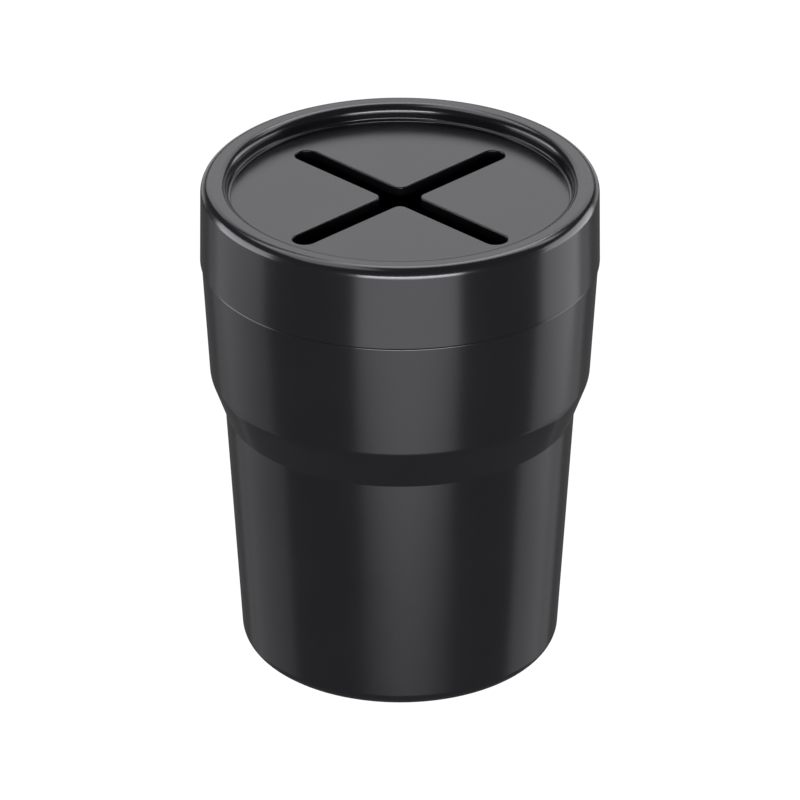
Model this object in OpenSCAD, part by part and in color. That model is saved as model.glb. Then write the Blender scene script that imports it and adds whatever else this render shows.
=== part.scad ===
// Small car trash bin that stands in a cup holder, with a lift-off lid.
// Three mouldings: the cup, the lid ring and the soft slotted disc in the ring.
// Millimetres, +Z up. The origin is the centre of the face the bin stands on.
// The arms of the cross slot lie along X and Y.

/* [Overall] */
// Height of the closed bin
total_h = 103.7; // [100:0.1:130]
// Diameter of the lower cup at the foot of the shoulder, which goes into a cup holder
lower_d = 71.2; // [68:0.1:76]
// Thickness of the cup's wall
cup_wall = 1.9; // [1.4:0.1:2.4]

/* [Lid ring] */
// Height of the lid from its lower edge to the rim
lid_h = 17.25; // [15:0.05:24]
// How much wider the lid's radius is at its lower edge
lid_draft = 0.3; // [0:0.05:0.6]
// Width of the rim, from the lid's side to the wall of the recess
rim_w = 5.4; // [5.2:0.1:7]
// Rounding of the rim's outer edge
rim_outer_round = 2.2; // [1:0.1:2.6]
// Rounding of the rim's inner edge
rim_inner_round = 1.8; // [0.8:0.1:2]
// Thickness of the ring's top web
web_t = 1.8; // [1.4:0.1:2.4]
// Thickness of the skirt that hangs over the neck
skirt_wall = 1.3; // [1:0.1:1.5]
// Rounding of the skirt's lower edge
skirt_round = 0.2; // [0.1:0.05:0.5]
// Depth of the recess from the rim down to the disc
recess_depth = 3.7; // [3.4:0.1:6]
// How far the small ledge at the foot of the recess stands in
ledge_w = 0.65; // [0.4:0.05:0.9]
// Height of that ledge above the disc
ledge_h = 0.55; // [0.4:0.05:0.8]

/* [Slotted disc] */
// Thickness of the disc
disc_t = 2; // [1.2:0.1:3]
// How far the disc reaches into the groove behind the recess wall
disc_grip = 1; // [0.8:0.1:1.2]
// Height of the bead that holds the disc up in the groove
bead_h = 0.9; // [0.7:0.1:1.4]
// How far that bead stands in under the disc
bead_w = 0.6; // [0.4:0.1:0.8]
// Width of the slot
slot_w = 4.8; // [4.6:0.1:8]
// Distance from the tips of the slot to the ledge
slot_margin = 4.85; // [3:0.05:12]
// Rounding of the four flap corners at the middle of the cross
flap_round = 1.8; // [1:0.1:4]
// Rounding of the slot's upper edge
slot_edge_round = 0.35; // [0.2:0.05:0.6]

/* [Cup] */
// How much smaller the lower cup's radius is at the base, as if its edge were sharp
lower_taper = 3.1; // [1.5:0.1:5]
// Rounding of the base edge
base_round = 3.2; // [2.4:0.1:4]
// Height of the lower cup, up to the foot of the shoulder
lower_h = 53.2; // [45:0.1:60]
// Height of the shoulder's cone
shoulder_h = 8.3; // [7:0.1:14]
// How far the shoulder's cone stands out past the lower cup
shoulder_step = 3; // [2:0.1:5]
// Rounding of the top of the shoulder
shoulder_round = 5.4; // [4:0.1:12]
// How much wider the upper cup's radius grows from the shoulder up to the lid
upper_flare = 1.4; // [0.8:0.05:2]
// How far the lid's lower edge stands out past the cup
lid_overhang = 0.3; // [0.1:0.05:0.8]
// Rounding of the cup's edge under the lid
seat_edge_round = 0.3; // [0.2:0.05:0.8]
// Thickness of the floor over the hollow under the base
floor_t = 1.6; // [1.2:0.1:3]
// Rounding inside, where the wall meets the floor
inside_round = 2.4; // [1.5:0.1:5]
// Width of the ring that the bin stands on
foot_w = 4.5; // [3:0.1:8]
// Height of the hollow under the base
foot_h = 0.8; // [0.4:0.1:1.2]

/* [Neck and fit] */
// Thickness of the neck that the lid slides over
neck_wall = 1.3; // [1:0.1:1.5]
// Gap on each side of the neck, to the skirt and to the collar
fit_gap = 0.35; // [0.3:0.05:0.4]
// How far the neck's straight bore runs on below the collar
collar_room = 2; // [1:0.1:6]
// Gap between the lid's lower edge and the cup
seam_gap = 0.1; // [0.1:0.05:0.4]
// How far the grip bead stands out from the neck
grip_bead = 0.2; // [0.1:0.02:0.24]
// Height of the grip bead above the lid's lower edge
grip_bead_up = 4.5; // [3.5:0.1:7]
// Half the height of the grip bead
grip_bead_half = 1.1; // [0.8:0.1:1.6]
// Gap between the soft disc and the groove that holds it
disc_gap = 0.05; // [0.02:0.01:0.1]

/* [Hidden] */

plastic = [0.13, 0.13, 0.135];
soft = [0.17, 0.17, 0.175];

// Facets of a full turn, and straight pieces in a rounding and in the slot's fine edge
turn_fn = 160;
round_steps = 8;
edge_steps = 4;
// Smallest rounding of a hidden edge, and the depth by which a cut passes a face
edge_break = 0.3;
past = 0.5;

// Heights that pieces share
lid_edge_z = total_h - lid_h;
seat_z = lid_edge_z - seam_gap;
web_z = total_h - web_t;
neck_top_z = web_z - fit_gap;
disc_top_z = total_h - recess_depth;
disc_low_z = disc_top_z - disc_t;
bead_top_z = disc_low_z - disc_gap;
collar_low_z = bead_top_z - bead_h;
shoulder_z = lower_h + shoulder_h;
grip_bead_z = lid_edge_z + grip_bead_up;

// Radii of the cup's outside from the base up to the seat under the lid
foot_of_shoulder_r = lower_d / 2;
base_r = foot_of_shoulder_r - lower_taper;
shoulder_r = foot_of_shoulder_r + shoulder_step;
seat_r = shoulder_r + upper_flare;

// Radius of the lid's outside and of the space inside its skirt at a height
function lid_r(z) = seat_r + lid_overhang - lid_draft * (z - lid_edge_z) / lid_h;
function skirt_r(z) = lid_r(z) - skirt_wall;
// Radius of the neck's outside at a height
function neck_r(z) = skirt_r(z) - fit_gap;

neck_bore_r = neck_r(neck_top_z) - neck_wall;
collar_r = neck_bore_r - fit_gap;
recess_r = lid_r(total_h) - rim_w;
ledge_r = recess_r - ledge_w;
groove_r = recess_r + disc_grip;
disc_r = groove_r - disc_gap;
bead_r = groove_r - bead_w - disc_gap;
// The ledge meets the wall in a hollow rounding and ends in a small nose
ledge_hollow = 0.6 * ledge_w;
ledge_nose = 0.3 * ledge_w;

// The inner wall follows the outer one at the thickness of the wall
shoulder_angle = atan(shoulder_step / shoulder_h);
inner_lift = cup_wall * tan(shoulder_angle / 2);
lower_slope = lower_taper / lower_h;
floor_z = foot_h + floor_t;
floor_r = base_r + floor_z * lower_slope - cup_wall;
foot_r = base_r - base_round - foot_w;

// Outline of corners [x, y, rounding], each rounding drawn as an arc of straight pieces
function unit(v) = v / norm(v);
function arc_at(before, corner, after, r) =
    let (
        a = unit(before - corner),
        b = unit(after - corner),
        half = acos(max(-1, min(1, a * b))) / 2,
        middle = corner + unit(a + b) * r / sin(half),
        from = corner + a * r / tan(half) - middle,
        to = corner + b * r / tan(half) - middle,
        start = atan2(from.y, from.x),
        turn = atan2(from.x * to.y - from.y * to.x, from * to)
    )
    [for (i = [0:round_steps]) let (t = start + turn * i / round_steps)
        middle + r * [cos(t), sin(t)]];
function flat(p) = [p.x, p.y];
function outline(corners) =
    let (n = len(corners))
    [for (i = [0:n - 1])
        let (p = corners[i])
        each p[2] == 0 ? [flat(p)]
            : arc_at(flat(corners[(i + n - 1) % n]), flat(p), flat(corners[(i + 1) % n]), p[2])];

module turned(corners) {
    rotate_extrude($fn = turn_fn) polygon(outline(corners));
}

// Cup: one thin-walled moulding with a shoulder, a neck for the lid and a hollow base
module cup() {
    color(plastic) turned([
        [0, foot_h, 0],
        [foot_r, foot_h, foot_h / 2],
        [foot_r + foot_h, 0, edge_break],
        [base_r, 0, base_round],
        [foot_of_shoulder_r, lower_h, edge_break],
        [shoulder_r, shoulder_z, shoulder_round],
        [seat_r, seat_z, seat_edge_round],
        [neck_r(seat_z), seat_z, edge_break],
        [neck_r(grip_bead_z - grip_bead_half), grip_bead_z - grip_bead_half, edge_break],
        [neck_r(grip_bead_z) + grip_bead, grip_bead_z, edge_break],
        [neck_r(grip_bead_z + grip_bead_half), grip_bead_z + grip_bead_half, edge_break],
        [neck_r(neck_top_z), neck_top_z, edge_break],
        [neck_bore_r, neck_top_z, edge_break],
        [neck_bore_r, collar_low_z - collar_room, 0],
        [shoulder_r - cup_wall, shoulder_z + inner_lift, shoulder_round - cup_wall],
        [foot_of_shoulder_r - cup_wall, lower_h + inner_lift, edge_break + cup_wall],
        [floor_r, floor_z, inside_round],
        [0, floor_z, 0]
    ]);
}

// Lid ring: a rounded rim, a skirt outside the neck and a collar inside it.
// The collar carries the recess wall, its small ledge, and the disc's groove and bead.
module lid_ring() {
    color(plastic) turned([
        [ledge_r, disc_top_z, 0],
        [groove_r, disc_top_z, 0],
        [groove_r, bead_top_z, 0],
        [bead_r, bead_top_z, bead_h / 4],
        [bead_r, collar_low_z + bead_h / 3, bead_h / 4],
        [bead_r + bead_h / 3, collar_low_z, 0],
        [collar_r, collar_low_z, edge_break],
        [collar_r, web_z, edge_break],
        [skirt_r(web_z), web_z, edge_break],
        [skirt_r(lid_edge_z), lid_edge_z, skirt_round],
        [lid_r(lid_edge_z), lid_edge_z, skirt_round],
        [lid_r(total_h), total_h, rim_outer_round],
        [recess_r, total_h, rim_inner_round],
        [recess_r, disc_top_z + ledge_h, ledge_hollow],
        [ledge_r, disc_top_z + ledge_h, ledge_nose]
    ]);
}

// Edge of the cross slot, let out by a distance from its walls.
// Each arm ends in a half circle, and the flap corners between the arms are rounded.
function cross_arm(out) =
    let (
        half = slot_w / 2 + out,
        tip = ledge_r - slot_margin - slot_w / 2,
        corner = slot_w / 2 + flap_round,
        r = flap_round - out
    )
    concat(
        [for (i = [0:2 * round_steps]) let (t = -90 + 180 * i / (2 * round_steps))
            [tip + half * cos(t), half * sin(t)]],
        [for (i = [0:round_steps]) let (t = 270 - 90 * i / round_steps)
            [corner + r * cos(t), corner + r * sin(t)]]
    );
function spun(p, a) = [p.x * cos(a) - p.y * sin(a), p.x * sin(a) + p.y * cos(a)];
function cross_edge(out) = [for (a = [0:90:270]) each [for (p = cross_arm(out)) spun(p, a)]];

// Cutter for the slot: straight walls, then the rounding that rolls out to the disc's face
module slot_cutter() {
    walls = [[disc_low_z - past, 0], [disc_top_z - slot_edge_round, 0]];
    rounding = [for (i = [1:edge_steps]) let (t = 90 * i / edge_steps)
        [disc_top_z - slot_edge_round * (1 - sin(t)), slot_edge_round * (1 - cos(t))]];
    levels = concat(walls, rounding, [[disc_top_z + past, slot_edge_round]]);
    n = len(cross_edge(0));
    rings = [for (l = levels) each [for (p = cross_edge(l[1])) [p.x, p.y, l[0]]]];
    sides = [for (k = [0:len(levels) - 2]) each [for (i = [0:n - 1])
        let (a = k * n + i, b = k * n + (i + 1) % n)
        each [[a, a + n, b], [b, a + n, b + n]]]];
    top = (len(levels) - 1) * n;
    low_middle = len(rings);
    high_middle = low_middle + 1;
    ends = [for (i = [0:n - 1]) let (j = (i + 1) % n)
        each [[low_middle, i, j], [high_middle, top + j, top + i]]];
    polyhedron(
        concat(rings, [[0, 0, levels[0][0]], [0, 0, disc_top_z + past]]),
        concat(sides, ends)
    );
}

// Slotted disc: a soft plate held in the ring's groove, with the cross slot through it
module slotted_disc() {
    color(soft) difference() {
        turned([
            [0, disc_low_z, 0],
            [disc_r, disc_low_z, edge_break],
            [disc_r, disc_top_z, 0],
            [0, disc_top_z, 0]
        ]);
        slot_cutter();
    }
}

cup();
lid_ring();
slotted_disc();
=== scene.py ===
# Looks of the car trash bin: three black mouldings in soft studio light on a pale floor.
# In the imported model's own frame. The bin's sizes are in millimetres, the studio's in metres.
import math

import bpy
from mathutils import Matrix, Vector
from mathutils.geometry import tessellate_polygon


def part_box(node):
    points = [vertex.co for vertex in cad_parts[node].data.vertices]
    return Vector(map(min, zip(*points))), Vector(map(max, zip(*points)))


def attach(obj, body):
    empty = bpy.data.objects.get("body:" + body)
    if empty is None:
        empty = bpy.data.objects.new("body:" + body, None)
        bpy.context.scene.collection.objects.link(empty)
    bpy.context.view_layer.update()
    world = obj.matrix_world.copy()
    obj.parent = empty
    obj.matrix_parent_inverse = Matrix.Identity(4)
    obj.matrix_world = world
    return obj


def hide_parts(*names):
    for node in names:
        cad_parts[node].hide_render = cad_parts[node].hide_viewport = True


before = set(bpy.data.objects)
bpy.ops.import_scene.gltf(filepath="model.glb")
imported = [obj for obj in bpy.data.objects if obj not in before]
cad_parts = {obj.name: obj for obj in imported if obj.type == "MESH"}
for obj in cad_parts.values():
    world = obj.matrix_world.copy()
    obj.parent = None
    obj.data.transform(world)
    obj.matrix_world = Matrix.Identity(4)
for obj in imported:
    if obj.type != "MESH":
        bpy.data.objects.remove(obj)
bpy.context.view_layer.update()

MM = 0.001

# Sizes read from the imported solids
ring_low, ring_high = (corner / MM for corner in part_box("lid_ring"))
disc_low, disc_high = (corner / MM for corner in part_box("slotted_disc"))
total_h = ring_high.z
lid_edge_z = ring_low.z
lid_h = total_h - lid_edge_z

# Cup, from the base up
lower_h = 53.2
foot_of_shoulder_r = 35.6
base_r = 32.5
base_round = 3.2
shoulder_h = 8.3
shoulder_step = 3.0
shoulder_round = 5.4
upper_flare = 1.4
seat_edge_round = 0.3
cup_wall = 1.9
floor_t = 1.6
inside_round = 2.4
foot_w = 4.5
foot_h = 0.8

# Neck and fit
neck_wall = 1.3
fit_gap = 0.35
seam_gap = 0.1
collar_room = 2.0
grip_bead = 0.2
grip_bead_up = 4.5
grip_bead_half = 1.1
disc_gap = 0.05

# Lid ring
lid_draft = 0.3
lid_overhang = 0.3
rim_w = 5.4
rim_outer_round = 2.2
rim_inner_round = 1.8
web_t = 1.8
skirt_wall = 1.3
skirt_round = 0.2
ledge_w = 0.65
ledge_h = 0.55
disc_grip = 1.0
bead_h = 0.9
bead_w = 0.6

# Slotted disc
slot_w = 4.8
slot_margin = 4.85
flap_round = 1.8
slot_edge_round = 0.35

# Smallest rounding of a hidden edge
edge_break = 0.3
# Facets of a full turn, and pieces in a rounding
TURN = 288
ROUND_STEPS = 10
# A point closer to the axis than this lies on it
ON_AXIS = 1e-9

# Heights and radii that follow from the sizes above
seat_z = lid_edge_z - seam_gap
web_z = total_h - web_t
neck_top_z = web_z - fit_gap
disc_top_z = disc_high.z
disc_low_z = disc_low.z
bead_top_z = disc_low_z - disc_gap
collar_low_z = bead_top_z - bead_h
shoulder_z = lower_h + shoulder_h
grip_bead_z = lid_edge_z + grip_bead_up
shoulder_r = foot_of_shoulder_r + shoulder_step
seat_r = shoulder_r + upper_flare


def lid_r(z):
    """Radius of the lid's outside at a height."""
    return seat_r + lid_overhang - lid_draft * (z - lid_edge_z) / lid_h


def skirt_r(z):
    """Radius of the inside of the lid's skirt."""
    return lid_r(z) - skirt_wall


def neck_r(z):
    """Radius of the outside of the cup's neck, which the skirt fits round."""
    return skirt_r(z) - fit_gap


neck_bore_r = neck_r(neck_top_z) - neck_wall
collar_r = neck_bore_r - fit_gap
recess_r = lid_r(total_h) - rim_w
ledge_r = recess_r - ledge_w
groove_r = recess_r + disc_grip
disc_r = groove_r - disc_gap
bead_r = groove_r - bead_w - disc_gap
ledge_hollow = 0.6 * ledge_w
ledge_nose = 0.3 * ledge_w
shoulder_angle = math.atan(shoulder_step / shoulder_h)
inner_lift = cup_wall * math.tan(shoulder_angle / 2)
floor_z = foot_h + floor_t
floor_r = base_r + floor_z * (foot_of_shoulder_r - base_r) / lower_h - cup_wall
foot_r = base_r - base_round - foot_w


def rounded(corners, closed):
    """The points of an outline with its corners rounded, each with the normals before and after it.

    A corner is (r, z, rounding). The material is on the outline's left, so normals point right."""
    points = []
    count = len(corners)
    for i, (r, z, radius) in enumerate(corners):
        corner = Vector((r, z))
        before = corner - Vector(corners[i - 1][:2])
        after = Vector(corners[(i + 1) % count][:2]) - corner
        if not closed and i == 0:
            before = after
        if not closed and i == count - 1:
            after = before
        before.normalize()
        after.normalize()
        right_before = Vector((before.y, -before.x))
        right_after = Vector((after.y, -after.x))
        if radius == 0:
            points.append((corner, right_before, right_after))
            continue
        turn = math.atan2(before.cross(after), before.dot(after))
        reach = radius * math.tan(abs(turn) / 2)
        side = 1 if turn > 0 else -1
        middle = corner - before * reach - right_before * radius * side
        for k in range(ROUND_STEPS + 1):
            angle = turn * k / ROUND_STEPS
            normal = Vector((
                right_before.x * math.cos(angle) - right_before.y * math.sin(angle),
                right_before.x * math.sin(angle) + right_before.y * math.cos(angle),
            ))
            points.append((middle + normal * radius * side, normal, normal))
    return points


def mesh_object(name, corners, faces, normals):
    """A mesh from corners in millimetres, with the normal of each face corner given one by one."""
    mesh = bpy.data.meshes.new(name)
    mesh.from_pydata([Vector(c) * MM for c in corners], [], faces)
    mesh.polygons.foreach_set("use_smooth", [True] * len(mesh.polygons))
    mesh.normals_split_custom_set([n for face in normals for n in face])
    piece = bpy.data.objects.new(name, mesh)
    bpy.context.scene.collection.objects.link(piece)
    return piece


def full_turn():
    """Cosine and sine of each facet's angle round the axis."""
    angles = [2 * math.pi * k / TURN for k in range(TURN)]
    return [(math.cos(a), math.sin(a)) for a in angles]


def turned(name, corners, closed):
    """A body of revolution, smooth all round. An open outline starts and ends on the axis."""
    outline = rounded(corners, closed)
    around = full_turn()
    places = []
    rows = []
    for point, _, _ in outline:
        if point.x < ON_AXIS:
            rows.append([len(places)] * TURN)
            places.append((0, 0, point.y))
            continue
        rows.append(list(range(len(places), len(places) + TURN)))
        places += [(point.x * c, point.x * s, point.y) for c, s in around]
    faces = []
    normals = []
    last = len(outline) if closed else len(outline) - 1
    for i in range(last):
        j = (i + 1) % len(outline)
        leaving = outline[i][2]
        arriving = outline[j][1]
        for k in range(TURN):
            m = (k + 1) % TURN
            ring = [(rows[i][k], leaving, k), (rows[i][m], leaving, m),
                    (rows[j][m], arriving, m), (rows[j][k], arriving, k)]
            if rows[i][k] == rows[i][m]:
                ring.pop(1)
            elif rows[j][k] == rows[j][m]:
                ring.pop(2)
            faces.append([corner for corner, _, _ in ring])
            normals.append([(n.x * around[a][0], n.x * around[a][1], n.y) for _, n, a in ring])
    return mesh_object(name, places, faces, normals)


def cup():
    """The cup: stepped outside, thin wall, neck for the lid, and a hollow base."""
    return turned("bin_cup", [
        (0, foot_h, 0),
        (foot_r, foot_h, foot_h / 2),
        (foot_r + foot_h, 0, edge_break),
        (base_r, 0, base_round),
        (foot_of_shoulder_r, lower_h, edge_break),
        (shoulder_r, shoulder_z, shoulder_round),
        (seat_r, seat_z, seat_edge_round),
        (neck_r(seat_z), seat_z, edge_break),
        (neck_r(grip_bead_z - grip_bead_half), grip_bead_z - grip_bead_half, edge_break),
        (neck_r(grip_bead_z) + grip_bead, grip_bead_z, edge_break),
        (neck_r(grip_bead_z + grip_bead_half), grip_bead_z + grip_bead_half, edge_break),
        (neck_r(neck_top_z), neck_top_z, edge_break),
        (neck_bore_r, neck_top_z, edge_break),
        (neck_bore_r, collar_low_z - collar_room, 0),
        (shoulder_r - cup_wall, shoulder_z + inner_lift, shoulder_round - cup_wall),
        (foot_of_shoulder_r - cup_wall, lower_h + inner_lift, edge_break + cup_wall),
        (floor_r, floor_z, inside_round),
        (0, floor_z, 0),
    ], closed=False)


def lid_ring():
    """The lid ring: rounded rim, skirt, collar, recess wall with its ledge, groove and bead."""
    return turned("bin_lid_ring", [
        (ledge_r, disc_top_z, 0),
        (groove_r, disc_top_z, 0),
        (groove_r, bead_top_z, 0),
        (bead_r, bead_top_z, bead_h / 4),
        (bead_r, collar_low_z + bead_h / 3, bead_h / 4),
        (bead_r + bead_h / 3, collar_low_z, 0),
        (collar_r, collar_low_z, edge_break),
        (collar_r, web_z, edge_break),
        (skirt_r(web_z), web_z, edge_break),
        (skirt_r(lid_edge_z), lid_edge_z, skirt_round),
        (lid_r(lid_edge_z), lid_edge_z, skirt_round),
        (lid_r(total_h), total_h, rim_outer_round),
        (recess_r, total_h, rim_inner_round),
        (recess_r, disc_top_z + ledge_h, ledge_hollow),
        (ledge_r, disc_top_z + ledge_h, ledge_nose),
    ], closed=True)


def cross_edge(out):
    """Edge of the cross slot, let out by a distance: points and their directions into the slot."""
    tip = ledge_r - slot_margin - slot_w / 2
    half = slot_w / 2 + out
    centre = slot_w / 2 + flap_round
    radius = flap_round - out
    arm = []
    for k in range(2 * ROUND_STEPS + 1):
        a = math.radians(-90 + 180 * k / (2 * ROUND_STEPS))
        arm.append((tip + half * math.cos(a), half * math.sin(a), -math.cos(a), -math.sin(a)))
    for k in range(ROUND_STEPS + 1):
        a = math.radians(270 - 90 * k / ROUND_STEPS)
        arm.append((centre + radius * math.cos(a), centre + radius * math.sin(a),
                    math.cos(a), math.sin(a)))
    edge = []
    for c, s in ((1, 0), (0, 1), (-1, 0), (0, -1)):
        edge += [(x * c - y * s, x * s + y * c, u * c - v * s, u * s + v * c) for x, y, u, v in arm]
    return edge


def slotted_disc():
    """The soft disc: a plate with the cross slot, whose upper edge is rolled over."""
    places, faces, normals = [], [], []

    def loop(points, z):
        places.extend((p[0], p[1], z) for p in points)
        return list(range(len(places) - len(points), len(places)))

    def band(low, high, low_normals, high_normals, outward):
        for k in range(len(low)):
            m = (k + 1) % len(low)
            ring = [(low[k], low_normals[k]), (low[m], low_normals[m]),
                    (high[m], high_normals[m]), (high[k], high_normals[k])]
            if not outward:
                ring.reverse()
            faces.append([corner for corner, _ in ring])
            normals.append([normal for _, normal in ring])

    def cap(outer, inner, up):
        lists = [[Vector(places[i]) for i in ring] for ring in (outer, inner)]
        index = outer + inner
        for three in tessellate_polygon(lists):
            face = [index[i] for i in three]
            a, b, c = (Vector(places[i]) for i in face)
            if ((b - a).cross(c - a).z > 0) != (up > 0):
                face.reverse()
            faces.append(face)
            normals.append([(0, 0, up)] * 3)

    around = full_turn()
    rim = [(disc_r * c, disc_r * s) for c, s in around]
    rim_low = [((disc_r - edge_break) * c, (disc_r - edge_break) * s) for c, s in around]
    outer_bottom = loop(rim_low, disc_low_z)
    outer_low = loop(rim, disc_low_z + edge_break)
    outer_high = loop(rim, disc_top_z)
    side = [(c, s, 0) for c, s in around]
    half_way = math.sqrt(0.5)
    slope = [(c * half_way, s * half_way, -half_way) for c, s in around]
    band(outer_bottom, outer_low, slope, slope, True)
    band(outer_low, outer_high, side, side, True)

    walls = cross_edge(0)
    slot_bottom = loop(walls, disc_low_z)
    flat = [(p[2], p[3], 0) for p in walls]
    previous = slot_bottom
    previous_normals = flat
    for k in range(ROUND_STEPS + 1):
        a = math.radians(90 * k / ROUND_STEPS)
        ring = cross_edge(slot_edge_round * (1 - math.cos(a)))
        here = loop(ring, disc_top_z - slot_edge_round * (1 - math.sin(a)))
        here_normals = [(p[2] * math.cos(a), p[3] * math.cos(a), math.sin(a)) for p in ring]
        band(previous, here, previous_normals, here_normals, False)
        previous, previous_normals = here, here_normals
    cap(outer_high, previous, 1)
    cap(outer_bottom, slot_bottom, -1)
    return mesh_object("bin_slotted_disc", places, faces, normals)


def linear(hex_colour):
    """A hex sRGB colour as linear red, green, blue and alpha."""
    parts = [int(hex_colour[i:i + 2], 16) / 255 for i in (1, 3, 5)]
    return [p / 12.92 if p <= 0.04045 else ((p + 0.055) / 1.055) ** 2.4 for p in parts] + [1]


def add(tree, kind, links=(), **settings):
    """Adds a node with its settings, and links sockets to it given as (input, node, output)."""
    node = tree.nodes.new(kind)
    for name, value in settings.items():
        if hasattr(node, name):
            setattr(node, name, value)
        else:
            node.inputs[name.replace("_", " ")].default_value = value
    for socket, source, output in links:
        tree.links.new(source.outputs[output], node.inputs[socket])
    return node


def new_material(name):
    """An empty material and its node tree."""
    material = bpy.data.materials.new(name)
    material.use_nodes = True
    material.node_tree.nodes.clear()
    return material, material.node_tree


# Colour sockets of a Mix node, which share their names with others
MIX_A, MIX_B, MIX_RESULT = 6, 7, 2
# Range that holds nearly all of a noise's values
NOISE_LOW, NOISE_HIGH = 0.3, 0.7


def moulded(name, dark, light, roughness, spread, ior, grain_mm, grain_depth_mm, patch_mm):
    """Moulded plastic: fine grain from an eroded tool, and faint patches of gloss from filling."""
    material, tree = new_material(name)
    place = add(tree, "ShaderNodeTexCoord")
    grain = add(tree, "ShaderNodeTexNoise", [("Vector", place, "Object")],
                Scale=1 / (grain_mm * MM), Detail=2.0, Roughness=0.5)
    patches = add(tree, "ShaderNodeTexNoise", [("Vector", place, "Object")],
                  Scale=1 / (patch_mm * MM), Detail=3.0, Roughness=0.55)
    tone = add(tree, "ShaderNodeMix", [("Factor", patches, "Fac")], data_type="RGBA")
    tone.inputs[MIX_A].default_value = linear(dark)
    tone.inputs[MIX_B].default_value = linear(light)
    gloss = add(tree, "ShaderNodeMapRange", [("Value", patches, "Fac")])
    gloss.inputs["From Min"].default_value = NOISE_LOW
    gloss.inputs["From Max"].default_value = NOISE_HIGH
    gloss.inputs["To Min"].default_value = roughness - spread
    gloss.inputs["To Max"].default_value = roughness + spread
    bump = add(tree, "ShaderNodeBump", [("Height", grain, "Fac")],
               Strength=1.0, Distance=grain_depth_mm * MM)
    shader = add(tree, "ShaderNodeBsdfPrincipled",
                 [("Roughness", gloss, "Result"), ("Normal", bump, "Normal")], IOR=ior)
    tree.links.new(tone.outputs[MIX_RESULT], shader.inputs["Base Color"])
    add(tree, "ShaderNodeOutputMaterial", [("Surface", shader, "BSDF")])
    return material


# Satin black polypropylene, injection moulded: soft-edged reflections on an even black.
# Its eroded grain is about 0.1 mm wide and is drawn coarser, so that it shows at all.
satin_polypropylene = moulded(
    "satin_black_moulded_polypropylene", "#0d0d0f", "#101012",
    roughness=0.19, spread=0.012, ior=1.49,
    grain_mm=0.35, grain_depth_mm=0.004, patch_mm=18)
# Soft black elastomer, injection moulded: the same black, with slightly softer reflections.
# Its grain is drawn coarser too, and a little deeper.
soft_elastomer = moulded(
    "matte_black_moulded_elastomer", "#0d0d0f", "#101012",
    roughness=0.24, spread=0.012, ior=1.49,
    grain_mm=0.35, grain_depth_mm=0.005, patch_mm=18)


def dress(piece, material, body, node):
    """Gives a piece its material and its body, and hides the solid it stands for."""
    piece.data.materials.append(material)
    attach(piece, body)
    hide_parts(node)


dress(cup(), satin_polypropylene, "cup_body", "cup")
dress(lid_ring(), satin_polypropylene, "lid_body", "lid_ring")
dress(slotted_disc(), soft_elastomer, "lid_body", "slotted_disc")

# Studio, in metres

camera_azimuth = math.radians(45)
camera_elevation = math.radians(28.43)
camera_distance = 1.28
target_z = 0.048
aim_z = 0.05368
lens_mm = 281.73
sensor_mm = 36

bin_middle = Vector((0, 0, 0.05))
studio_radius = 3.0
ceiling_h = 1.5
# Studio lamps a touch cooler than the white ground
cool_white = linear("#fafaff")[:3]


def direction(azimuth, elevation):
    """From the bin towards a place round it: azimuth 0 is -Y, and it grows towards +X."""
    return Vector((math.sin(azimuth) * math.cos(elevation),
                   -math.cos(azimuth) * math.cos(elevation),
                   math.sin(elevation)))


def face(thing, target):
    """Turns a camera or a light to look at a point."""
    thing.rotation_euler = (target - thing.location).to_track_quat("-Z", "Y").to_euler()


camera_data = bpy.data.cameras.new("camera")
camera_data.lens = lens_mm
camera_data.sensor_width = sensor_mm
camera_data.clip_end = 50
camera = bpy.data.objects.new("camera", camera_data)
bpy.context.scene.collection.objects.link(camera)
view = direction(camera_azimuth, camera_elevation)
camera.location = Vector((0, 0, target_z)) + camera_distance * view
face(camera, Vector((0, 0, aim_z)))
bpy.context.scene.camera = camera


def panel(name, centre, width, height, radiance):
    """A flat rectangular light that faces the bin and doesn't show in the picture itself."""
    lamp = bpy.data.lights.new(name, "AREA")
    lamp.shape = "RECTANGLE"
    lamp.size = width
    lamp.size_y = height
    lamp.energy = radiance * math.pi * width * height
    lamp.color = cool_white
    light = bpy.data.objects.new(name, lamp)
    light.visible_camera = False
    bpy.context.scene.collection.objects.link(light)
    light.location = bin_middle + centre
    face(light, bin_middle)
    return light


def softbox(name, left, right, low, high, radiance):
    """A softbox between two angles round the bin and two angles up from level, in degrees."""
    azimuth = camera_azimuth + math.radians(left + right) / 2
    elevation = math.radians(low + high) / 2
    width = 2 * studio_radius * math.tan(math.radians(right - left) / 2) * math.cos(elevation)
    height = 2 * studio_radius * math.tan(math.radians(high - low) / 2)
    panel(name, studio_radius * direction(azimuth, elevation), width, height, radiance)


def ceiling(name, left, right, near, far, radiance):
    """A level panel overhead: metres to the picture's right, and away from the camera."""
    away = direction(camera_azimuth + math.pi, 0)
    aside = direction(camera_azimuth + math.pi / 2, 0)
    centre = aside * (left + right) / 2 + away * (near + far) / 2 + Vector((0, 0, ceiling_h))
    light = panel(name, centre, right - left, far - near, radiance)
    light.rotation_euler = (0, 0, math.atan2(aside.y, aside.x))


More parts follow.
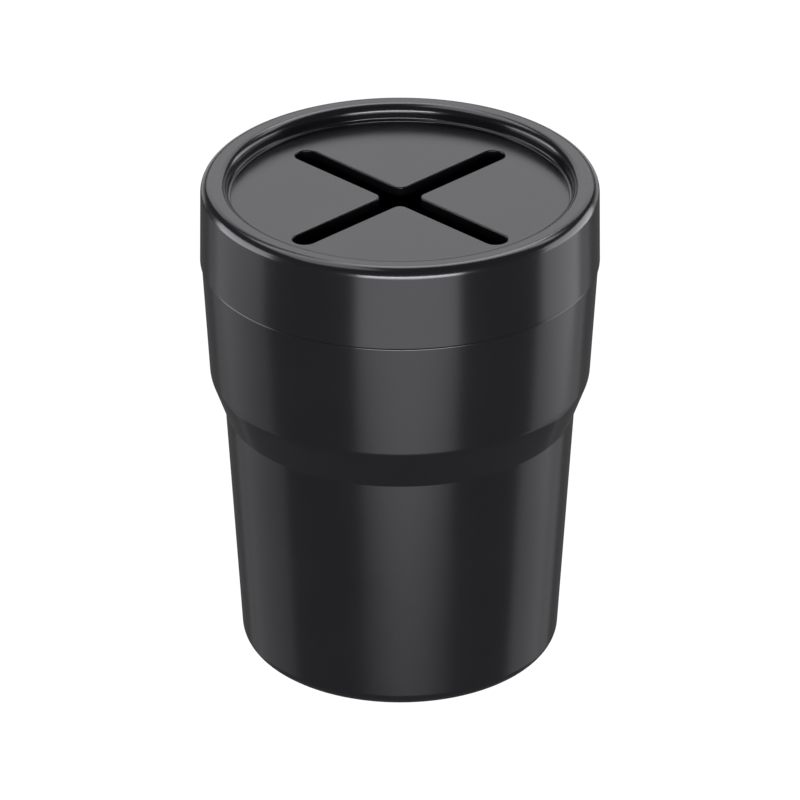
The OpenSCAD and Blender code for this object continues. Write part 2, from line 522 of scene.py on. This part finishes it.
# Angles round the bin start at the camera and grow to its right. Last comes the brightness.
# An upright wall mirrors what lies low in front of it to a camera above, so some softboxes
# stand below the floor, which doesn't shade the bin from them.
softbox("front_high", -22, 33, 3, 13.5, 18.0)
softbox("front_middle", -22, 33, -10, 3, 10.0)
softbox("front_low", -24, 33, -36.5, -9, 2.05)
softbox("left_side", -120, -75, -20, 20, 4.5)
softbox("left_middle", -130, -84, -31, -20, 0.6)
softbox("left_low", -130, -84, -42, -31, 0.3)
softbox("left_far", -142, -130, -42, -20, 0.2)
softbox("right_side", 86, 135, -20, 20, 3.5)
softbox("right_middle", 88, 124, -31, -20, 1.3)
softbox("right_low", 88, 124, -42, -31, 0.5)
softbox("right_far", 124, 140, -42, -20, 0.3)
softbox("behind", 150, 210, 18, 42, 1.5)
softbox("behind_low", 140, 220, -15, 8, 0.75)
ceiling("overhead_back", -1.1, 1.6, 0.5, 1.0, 3.7)
ceiling("overhead_far", -0.2, 0.7, 1.0, 1.5, 5.9)
ceiling("overhead_left", -1.1, -0.2, -0.45, 0.5, 2.6)

# Floor: pale, level and plain, and a little over white, so that it shows no shadow
floor_size = 12.0
ground_brightness = 1.05
fill_brightness = 0.11
floor_mesh = bpy.data.meshes.new("floor")
reach = floor_size / 2
floor_corners = [(-reach, -reach, 0), (reach, -reach, 0), (reach, reach, 0), (-reach, reach, 0)]
floor_mesh.from_pydata(floor_corners, [], [(0, 1, 2, 3)])
floor = bpy.data.objects.new("floor", floor_mesh)
bpy.context.scene.collection.objects.link(floor)
floor_material, floor_tree = new_material("pale_floor")
glow = add(floor_tree, "ShaderNodeEmission", Strength=ground_brightness)
add(floor_tree, "ShaderNodeOutputMaterial", [("Surface", glow, "Emission")])
floor_mesh.materials.append(floor_material)
floor.visible_glossy = False
floor.visible_shadow = False

# World: white where the camera sees it, dim where it lights the bin
world = bpy.data.worlds.new("studio")
bpy.context.scene.world = world
world.use_nodes = True
sky = world.node_tree
sky.nodes.clear()
dim = add(sky, "ShaderNodeBackground", Color=(1, 1, 1, 1), Strength=fill_brightness)
white = add(sky, "ShaderNodeBackground", Color=(1, 1, 1, 1), Strength=ground_brightness)
rays = add(sky, "ShaderNodeLightPath")
mixed = add(sky, "ShaderNodeMixShader", [
    ("Fac", rays, "Is Camera Ray"), (1, dim, "Background"), (2, white, "Background")])
add(sky, "ShaderNodeOutputWorld", [("Surface", mixed, "Shader")])

bpy.context.scene.view_settings.view_transform = "Standard"
bpy.context.scene.view_settings.look = "None"
